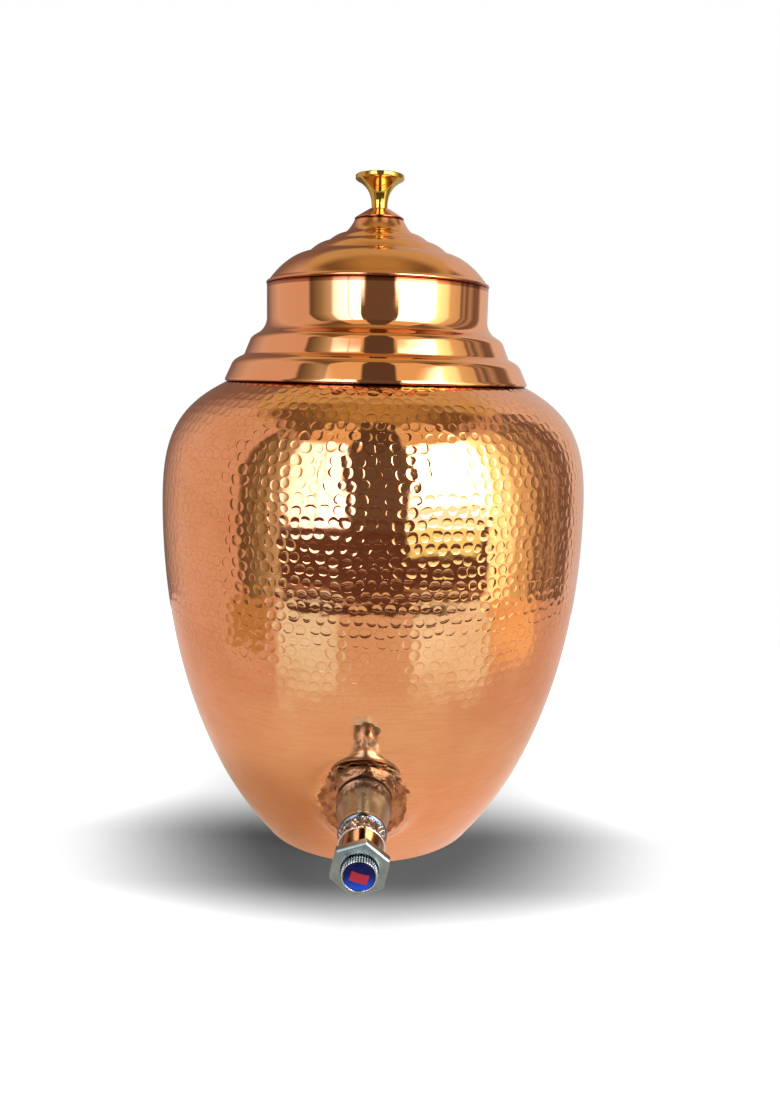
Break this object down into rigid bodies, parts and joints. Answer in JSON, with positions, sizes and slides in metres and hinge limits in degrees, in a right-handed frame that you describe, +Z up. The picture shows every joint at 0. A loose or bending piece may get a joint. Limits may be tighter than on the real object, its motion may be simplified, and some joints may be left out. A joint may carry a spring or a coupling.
{
  "type": "copper water dispenser",
  "caption": "Tall hammered copper water vessel with a stepped polished neck, a lift-off domed lid with a brass trumpet knob, and a chromed spring push tap low on the front.",
  "frame": {"origin": "centre of the vessel's flat underside", "axes": "+Z up along the vessel's axis; the tap points along -Y"},
  "size_m": [0.2796, 0.3229, 0.4362],
  "materials": {
    "hammered_copper": "hammered copper, lacquered satin",
    "polished_copper": "mirror polished copper",
    "polished_brass": "polished",
    "plain_brass": "as machined",
    "chrome": "polished plating on brass",
    "satin_chrome": "satin plating on brass",
    "steel": "stainless, bright",
    "rubber": "black, matt",
    "blue_plastic": "glossy, slightly clear"
  },
  "bodies": {
    "vessel": {"vessel_body": "hammered_copper", "neck_collar": "polished_copper", "neck_tube": "polished_copper", "tap_body": "chrome", "tap_outer_washer": "rubber", "tap_inner_washer": "rubber", "tap_backing_washer": "plain_brass", "tap_lock_nut": "plain_brass", "bonnet_gasket": "rubber", "tap_bonnet": "satin_chrome", "stem_o_ring": "rubber", "return_spring": "steel"},
    "lid": {"lid_shell": "polished_copper", "lid_locating_ring": "polished_copper", "knob_base_cone": "polished_copper", "lid_knob": "polished_brass", "knob_screw": "steel", "knob_screw_washer": "steel"},
    "push_button": {"button_cap": "chrome", "button_insert": "blue_plastic", "tap_stem": "plain_brass", "valve_washer": "rubber", "valve_retaining_nut": "plain_brass"}
  },
  "joints": [
    {"name": "lid_lift", "type": "slide", "parent": "vessel", "child": "lid", "axis": [0, 0, 1], "range_m": [0, 0.1]},
    {"name": "button_push", "type": "slide", "parent": "vessel", "child": "push_button", "axis": [0, 0.9962, 0.0872], "range_m": [0, 0.0045], "stiffness_N_per_m": 600, "springref_m": -0.004, "deforming": ["return_spring"]}
  ]
}
